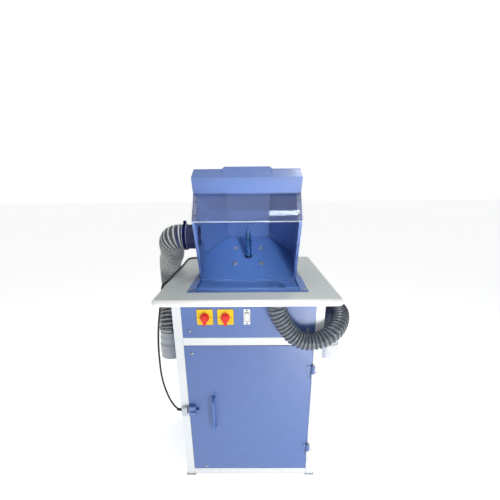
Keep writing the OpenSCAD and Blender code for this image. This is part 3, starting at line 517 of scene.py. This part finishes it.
def clamp_steel():
    """Hose clamps: zinc, and painted over navy on the hood's port."""
    m = metal("clamp_steel", (150, 155, 160))
    m.stain(m.remap(m.axis("Z"), *PORT_CLAMP_Z), PORT_NAVY)
    return m.material


def lamp_glass():
    """The fluorescent tube's frosted glass."""
    m = Nodes("lamp_glass", (243, 246, 246), 0.22, IOR=1.46, Transmission_Weight=0.8)
    m.mottle(0.03, 0.02)
    m.bump(m.noise(0.003, 2.0), 0.2, 0.0004)
    return m.material


def blued_steel():
    """The spindle: turned steel with a blue oxide film."""
    m = Nodes("blued_steel", (70, 108, 158), 0.24, 0.8, Coat_Weight=0.3, Coat_Roughness=0.12)
    turned = m.noise(0.0006, 1.0, stretch=(0.02, 0.02, 1))
    share = m.remap(m.noise(0.03, 1.0), *NOISE_SPAN)
    m.paint(m.mix(share, m.tinted(0.75), linear((80, 132, 184))))
    m.uneven_gloss(0.006, 0.16, 0.32)
    m.bump(turned, 0.18, 0.0001)
    return m.material


# One finish for each material slot of the record
MATERIALS = {
    "white_paint": white_paint(),
    "foot_steel": foot_steel(),
    "blue_paint": powder_coat("blue_paint", (85, 114, 176)).material,
    "deep_blue_paint": powder_coat(
        "deep_blue_paint", (77, 115, 182), coat=0.3, reach=0.005
    ).material,
    # inner_paint: the blue paint again, set darker as painted shade for the inside of the hood
    "inner_paint": powder_coat(
        "inner_paint", (66, 100, 180), rough=(0.26, 0.36), depth=0.24
    ).material,
    "bench_laminate": bench_laminate(),
    "zinc_steel": metal("zinc_steel", (156, 165, 176), metallic=0.75).material,
    # keeper_paint's corner_shade is the grey of its painted shade in corners
    "keeper_paint": powder_coat(
        "keeper_paint", (196, 202, 210), mottle=0.04, corner_shade=(120, 126, 136)
    ).material,
    "switch_yellow": plastic("switch_yellow", (250, 202, 20), rough=(0.26, 0.36)).material,
    "switch_red": plastic("switch_red", (222, 44, 36), rough=(0.28, 0.4)).material,
    "switch_black": plastic("switch_black", (30, 31, 34)).material,
    "white_plastic": plastic("white_plastic", (244, 244, 242), rough=(0.26, 0.36)).material,
    "enclosure_grey": plastic("enclosure_grey", (150, 154, 158)).material,
    "black_rubber": plastic("black_rubber", (17, 17, 19), rough=(0.45, 0.62), depth=0.3).material,
    "clear_acrylic": clear_acrylic().material,
    "lamp_glass": lamp_glass(),
    "motor_grey": powder_coat("motor_grey", (92, 98, 106), peel=0.002, mottle=0.07).material,
    "fan_plastic": plastic("fan_plastic", (46, 48, 52)).material,
    "core_steel": metal(
        "core_steel", (118, 112, 104), rough=(0.4, 0.55), stretch=(1, 1, 12)
    ).material,
    "bright_steel": metal(
        "bright_steel", (190, 193, 197), rough=(0.14, 0.26), stretch=(1, 1, 8)
    ).material,
    "blued_steel": blued_steel(),
    "hose_light": wire_hose(),
    "hose_dark": hose_skin(
        "hose_dark", (112, 120, 129), (36, 42, 53), (0.28, 0.42), (0.06, 0.4), crease=0.007
    ).material,
    "coupler_grey": plastic(
        "coupler_grey", (186, 192, 196), rough=(0.34, 0.48), mottle=0.05
    ).material,
    "coupler_white": plastic("coupler_white", (240, 243, 244), rough=(0.3, 0.42)).material,
}


def wear(obj, slot):
    """Gives an object one of the finishes above, in place of whatever it came with."""
    obj.data.materials.clear()
    obj.data.materials.append(MATERIALS[slot])
    return obj


# Finishes for the nodes that don't quite look like the rest of their slot
MATERIALS.update(
    # port_navy's corner_shade is the near-black of its painted shade in corners
    port_navy=powder_coat(
        "port_navy", PORT_NAVY, rough=(0.5, 0.6), coat=0.0, corner_shade=(10, 14, 40)
    ).material,
    # latch_blue: the door's blue paint set lighter as painted light, with paler painted shade in
    # its corners
    latch_blue=powder_coat("latch_blue", (96, 124, 186), corner_shade=(70, 96, 160)).material,
    visor=visor_acrylic(),
    plate_yellow=plate_yellow(),
    rocker_white=rocker_white(),
    panel_screw_steel=panel_screw_steel(),
    clamp_steel=clamp_steel(),
)
FINISH_OF = {
    "side_port": "port_navy",
    "visor": "visor",
    "switch_plates": "plate_yellow",
    "rocker_body": "rocker_white",
    "panel_screws": "panel_screw_steel",
    "hose_clamps": "clamp_steel",
    "latch_bolt": "latch_blue",
    "latch_housing": "latch_blue",
}

for name, node in nodes.items():
    wear(node, FINISH_OF.get(name, SLOT_OF[name]))

# CAD nodes whose edges are rounded by modifiers, and by how many metres
SOFT_EDGES = {
    "frame_legs": 0.0018, "frame_rails": 0.0014, "lamp_box": 0.0012, "latch_keeper": 0.0010,
    "switch_knob_left": 0.0008, "switch_knob_right": 0.0008,
}
WELD_WITHIN = 1e-5
SHARP_FROM = math.radians(50)


def soften(name, width):
    """Rounds a CAD node's sharp edges; its own mesh stays as it is."""
    weld = nodes[name].modifiers.new("weld", "WELD")
    weld.merge_threshold = WELD_WITHIN
    bevel = nodes[name].modifiers.new("bevel", "BEVEL")
    bevel.width, bevel.segments = width, 2
    bevel.limit_method, bevel.angle_limit = "ANGLE", SHARP_FROM
    bevel.use_clamp_overlap, bevel.harden_normals = True, True


for name, width in SOFT_EDGES.items():
    soften(name, width)


def piece(obj, slot, body="frame", stands_for=()):
    """A made piece: its finish, its body and the CAD nodes it stands for."""
    wear(obj, slot)
    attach(obj, body)
    if stands_for:
        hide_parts(*stands_for)
    return obj


# ---------------------------------------------------------------- hoses and cable

# The spiral: how far apart its turns are, how high its ridge is, and half the ridge's width as a
# share of the pitch
LEFT_PITCH, RIGHT_PITCH = 0.0125, 0.015
LEFT_DEPTH, RIGHT_DEPTH = 0.0038, 0.0042
LEFT_RIDGE, RIGHT_RIDGE = 0.25, 0.34

left_line = smooth_line(LEFT_ROUTE)
right_line = smooth_line(RIGHT_ROUTE)
cable_line = smooth_line(CABLE_ROUTE, 8)


left_hose, left_path = ribbed_tube(
    "left_hose_ribbed", left_line, (-1, 0, 0), (0, 0, -1), LEFT_R, LEFT_PITCH, LEFT_DEPTH,
    (0, 1, 0), LEFT_RIDGE,
)
piece(left_hose, "hose_light", stands_for=["left_hose"])
right_hose, right_path = ribbed_tube(
    "right_hose_ribbed", right_line, (0, 0, -1), (0, 0, -1), RIGHT_R, RIGHT_PITCH, RIGHT_DEPTH,
    (0, 1, 0), RIGHT_RIDGE,
)
piece(right_hose, "hose_dark", stands_for=["right_hose"])


def cable():
    """The lamp cable: a round sheath on its route."""
    curve = bpy.data.curves.new("lamp_cable_sheath", "CURVE")
    curve.dimensions = "3D"
    curve.bevel_depth, curve.bevel_resolution, curve.use_fill_caps = CABLE_R, 4, True
    spline = curve.splines.new("POLY")
    spline.points.add(len(cable_line) - 1)
    for point, co in zip(spline.points, cable_line):
        point.co = (*co, 1)
    spline.use_smooth = True
    return link(bpy.data.objects.new("lamp_cable_sheath", curve))


def lathe(name, profile, at, axis, around=40, rib=None):
    """A turned solid: (radius, distance along the axis) points, spun round the axis from at.

    rib gives each of the profile's points its share of the ridge colour.
    """
    w = Vector(axis).normalized()
    u = w.orthogonal().normalized()
    v = w.cross(u)
    points, faces = [], []
    count = len(profile)
    for k in range(around):
        a = 2 * math.pi * k / around
        out = u * math.cos(a) + v * math.sin(a)
        points += [Vector(at) + out * r + w * h for r, h in profile]
    for k in range(around):
        n = (k + 1) % around
        faces += [
            (k * count + i, n * count + i, n * count + (i + 1) % count, k * count + (i + 1) % count)
            for i in range(count)
        ]
    obj = mesh_object(name, points, faces)
    if rib:
        obj.data.attributes.new("rib", "FLOAT", "POINT").data.foreach_set("value", rib * around)
    return obj


CUFF_STEP, CUFF_DEPTH = 0.0008, 0.0026


def cuff(name, at, axis, outer, inner, length, pitch, slot):
    """A hose's soft end where it grips a pipe: a short sleeve with rings like the hose's ridges."""
    steps = int(length / CUFF_STEP)
    h = np.linspace(0, length, steps + 1)
    rib = ridge(h / pitch, RIGHT_RIDGE)
    profile = [(inner, 0.0)] + [(outer - CUFF_DEPTH * (1 - k), d) for k, d in zip(rib, h)]
    profile.append((inner, length))
    sleeve = lathe(name, profile, at, axis, 56, [0.0, *rib, 0.0])
    return piece(sleeve, slot, stands_for=["hose_cuffs"])


RELIEF_LENGTH, RELIEF_BASE_R, RELIEF_TIP_R, RELIEF_GROOVE = 0.022, 0.0078, 0.0052, 0.0006


def relief(name, at, out):
    """Tapered rubber sleeve with shallow grooves where the cable leaves a gland."""
    steps, bore = 30, CABLE_R + 0.0001
    profile = [(bore, 0.0)]
    for i in range(steps + 1):
        t = i / steps
        groove = RELIEF_GROOVE if 0.12 < t < 0.9 and i % 4 < 2 else 0.0
        profile.append((RELIEF_BASE_R * (1 - t) + RELIEF_TIP_R * t - groove, RELIEF_LENGTH * t))
    profile.append((bore, RELIEF_LENGTH))
    return piece(lathe(name, profile, at, out), "black_rubber")


# Each coupler's cuff sits on its spigot, from just above the step to the hose's end
COUPLER_X, COUPLER_Y, COUPLER_TOP = 0.384, 0.075, 0.6602
COUPLER_CUFF_WALL, COUPLER_CUFF_LENGTH = 0.0034, 0.0258
PORT_BORE, PORT_CUFF_LENGTH = 0.0451, 0.016
DRAIN_BORE, DRAIN_CUFF_LENGTH = 0.0341, 0.034

cuff(
    "port_cuff", LEFT_ROUTE[0], (1, 0, 0), LEFT_R, PORT_BORE, PORT_CUFF_LENGTH, LEFT_PITCH,
    "hose_light",
)
cuff(
    "drain_cuff", RIGHT_ROUTE[0], (0, 0, 1), RIGHT_R, DRAIN_BORE, DRAIN_CUFF_LENGTH, RIGHT_PITCH,
    "hose_dark",
)
cuff(
    "left_coupler_cuff", (-COUPLER_X, COUPLER_Y, COUPLER_TOP), (0, 0, 1), LEFT_R,
    LEFT_R - COUPLER_CUFF_WALL, COUPLER_CUFF_LENGTH, LEFT_PITCH, "hose_light",
)
cuff(
    "right_coupler_cuff", (COUPLER_X, COUPLER_Y, COUPLER_TOP), (0, 0, 1), RIGHT_R,
    RIGHT_R - COUPLER_CUFF_WALL, COUPLER_CUFF_LENGTH, RIGHT_PITCH, "hose_dark",
)

sheath = piece(cable(), "black_rubber", stands_for=["lamp_cable"])
HOOD_TILT = math.radians(25)
hood_back = Vector((0, math.cos(HOOD_TILT), math.sin(HOOD_TILT)))
reliefs = [
    relief("lamp_cable_relief", Vector(CABLE_ROUTE[0]) + hood_back * 0.006, hood_back),
    relief("side_cable_relief", Vector(CABLE_ROUTE[-1]) + Vector((-0.010, 0, 0)), (-1, 0, 0)),
]

# ---------------------------------------------------------------- floor and light

FLOOR_GLOW = 0.62


def stage():
    """A plain pale floor, which glows a little so that it stays near white far off."""
    bpy.ops.mesh.primitive_plane_add(size=60, location=(0, 10, 0))
    floor = bpy.context.object
    floor.name = "studio_floor"
    m = Nodes(
        "studio_floor", (246, 247, 248), 0.7,
        Emission_Color=(1, 1, 1, 1), Emission_Strength=FLOOR_GLOW,
    )
    m.mottle(0.7, 0.004)
    m.bump(m.noise(0.004, 2.0), 0.03, 0.0004)
    floor.data.materials.append(m.material)


def area(name, at, towards, size, power, size_y=None, spread=180, colour=(1, 1, 1)):
    """A soft light that faces a point, with its width level along X as far as it can be."""
    data = bpy.data.lights.new(name, "AREA")
    data.energy, data.size, data.spread = power, size, math.radians(spread)
    data.color = colour
    if size_y:
        data.shape, data.size_y = "RECTANGLE", size_y
    light = link(bpy.data.objects.new(name, data))
    light.visible_camera = False
    back = (Vector(at) - Vector(towards)).normalized()
    across = (Vector((1, 0, 0)) - back * back.x).normalized()
    turn = Matrix((across, back.cross(across), back)).transposed().to_4x4()
    light.matrix_world = Matrix.Translation(at) @ turn


# The sky's strength towards the camera and behind the object, the generated Y between which it
# changes, and the strength that the camera sees
WORLD_FRONT, WORLD_BACK = 0.31, 0.40
WORLD_FADE = (-0.2, 0.35)
BACKDROP = 1.02

# hood lights the hood's inside, and tube is the ceiling lamp that the visor mirrors
LAMPS = {
    "top": dict(at=(0.1, -0.9, 3.3), towards=(0, -0.1, 0.95), size=1.8, power=26),
    "hood": dict(
        at=(0.42, -1.9, 1.6), towards=(-0.02, -0.03, 1.1), size=0.3, power=0.54, spread=16
    ),
    "low": dict(at=(0.64, -1.5, 0.26), towards=(0.22, -0.178, 0.7), size=0.42, power=9.5),
    "rear": dict(at=(0.75, 1.28, 2.8), towards=(0.2, -0.18, 1.35), size=0.36, power=13),
    "tube": dict(
        at=(0.27, -0.675, 2.7), towards=(0.125, -0.24, 1.22), size=0.235, size_y=0.036,
        power=1.15, colour=(0.86, 1.0, 1.0),
    ),
}


def lighting():
    """A sky that is softer in front than behind and looks white, and lamps from the right."""
    world = bpy.data.worlds.new("studio")
    world.use_nodes = True
    tree = world.node_tree
    sky = tree.nodes["Background"]
    sky.inputs["Color"].default_value = (0.985, 0.993, 1.0, 1)
    backdrop = tree.nodes.new("ShaderNodeBackground")
    backdrop.inputs["Color"].default_value = (1, 1, 1, 1)
    backdrop.inputs["Strength"].default_value = BACKDROP
    seen = tree.nodes.new("ShaderNodeLightPath").outputs["Is Camera Ray"]
    either = tree.nodes.new("ShaderNodeMixShader")
    tree.links.new(seen, either.inputs[0])
    tree.links.new(sky.outputs[0], either.inputs[1])
    tree.links.new(backdrop.outputs[0], either.inputs[2])
    tree.links.new(either.outputs[0], tree.nodes["World Output"].inputs["Surface"])
    place = tree.nodes.new("ShaderNodeTexCoord")
    split = tree.nodes.new("ShaderNodeSeparateXYZ")
    fade = tree.nodes.new("ShaderNodeMapRange")
    for key, value in (
        ("From Min", WORLD_FADE[0]), ("From Max", WORLD_FADE[1]),
        ("To Min", WORLD_FRONT), ("To Max", WORLD_BACK),
    ):
        fade.inputs[key].default_value = value
    tree.links.new(place.outputs["Generated"], split.inputs["Vector"])
    tree.links.new(split.outputs["Y"], fade.inputs["Value"])
    tree.links.new(fade.outputs["Result"], sky.inputs["Strength"])
    bpy.context.scene.world = world
    for name, lamp in LAMPS.items():
        area(name, **lamp)


stage()
lighting()
scene = bpy.context.scene
scene.view_settings.view_transform = "Standard"
scene.view_settings.look = "None"
